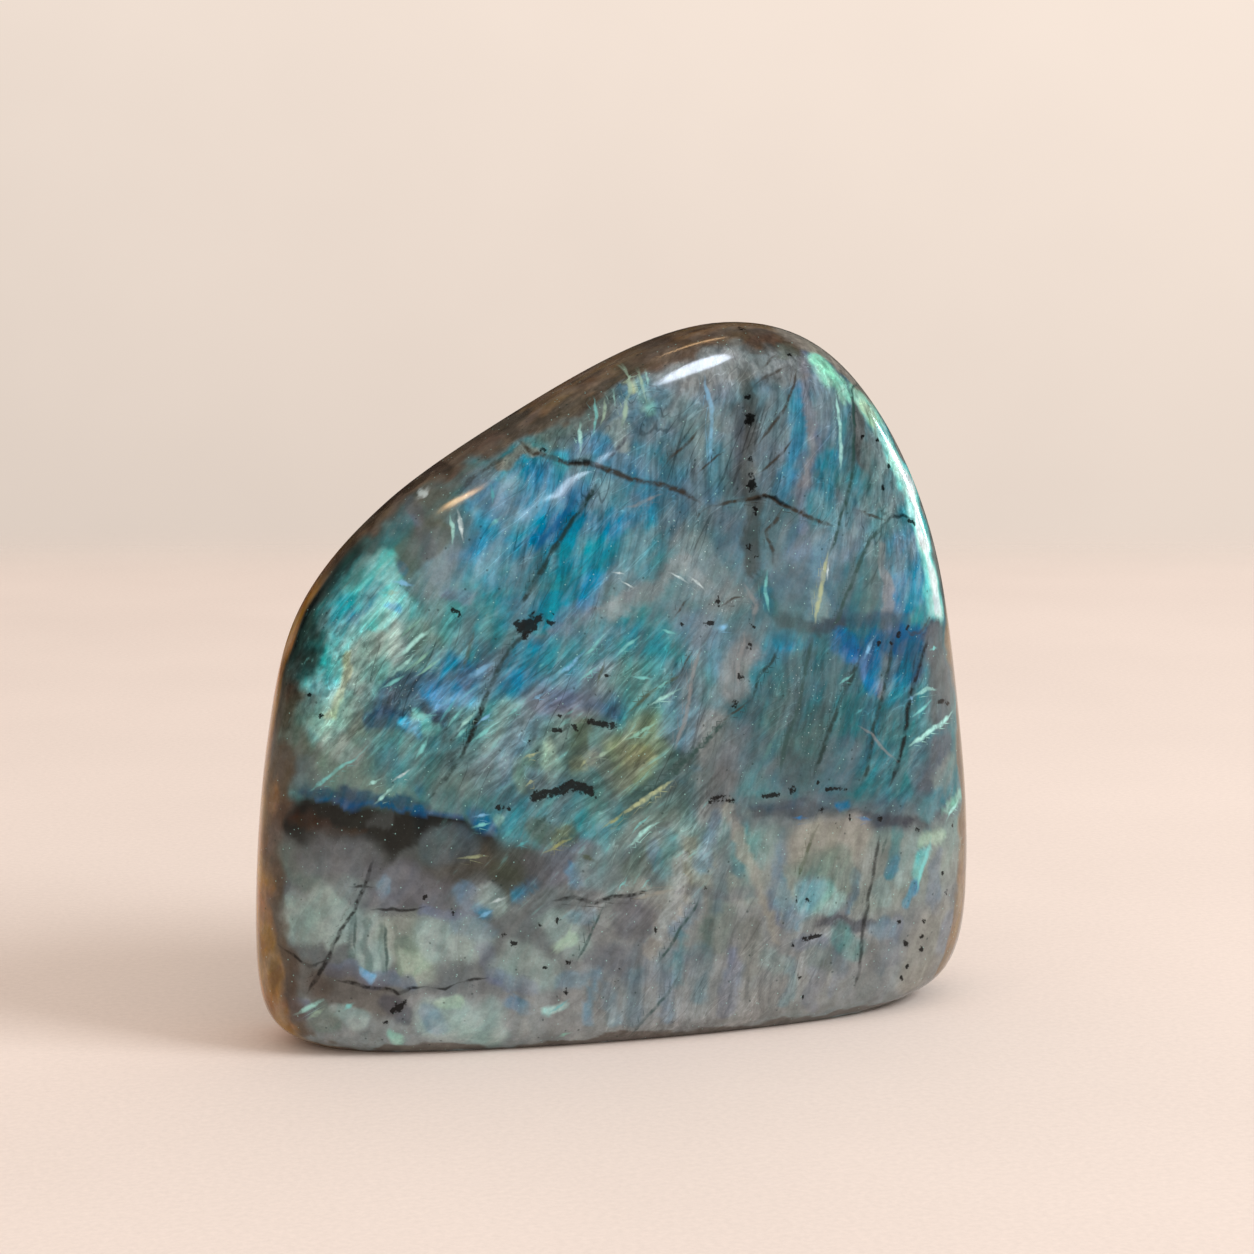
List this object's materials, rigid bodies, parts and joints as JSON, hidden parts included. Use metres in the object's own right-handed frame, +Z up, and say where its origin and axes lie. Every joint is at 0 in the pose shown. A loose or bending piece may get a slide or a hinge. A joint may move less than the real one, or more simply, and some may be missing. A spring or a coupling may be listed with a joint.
{
  "type": "polished labradorite freeform stone",
  "caption": "Polished labradorite freeform with a leaning rounded outline, gently bowed faces and a flat ground base, a display stone that stands on its own.",
  "frame": {"origin": "on the flat ground base, under the middle of the stone's box", "axes": "+Z up, +X across the broad face to the right as seen from the front, -Y towards the front face"},
  "size_m": [0.1042, 0.031, 0.0979],
  "materials": {
    "polished_labradorite": "polished to a glassy gloss, dark feldspar with blue, teal and green-gold colour play in streaks and patches, brown-grey rims"
  },
  "bodies": {
    "root": {"polished_labradorite": "polished_labradorite"}
  },
  "joints": []
}
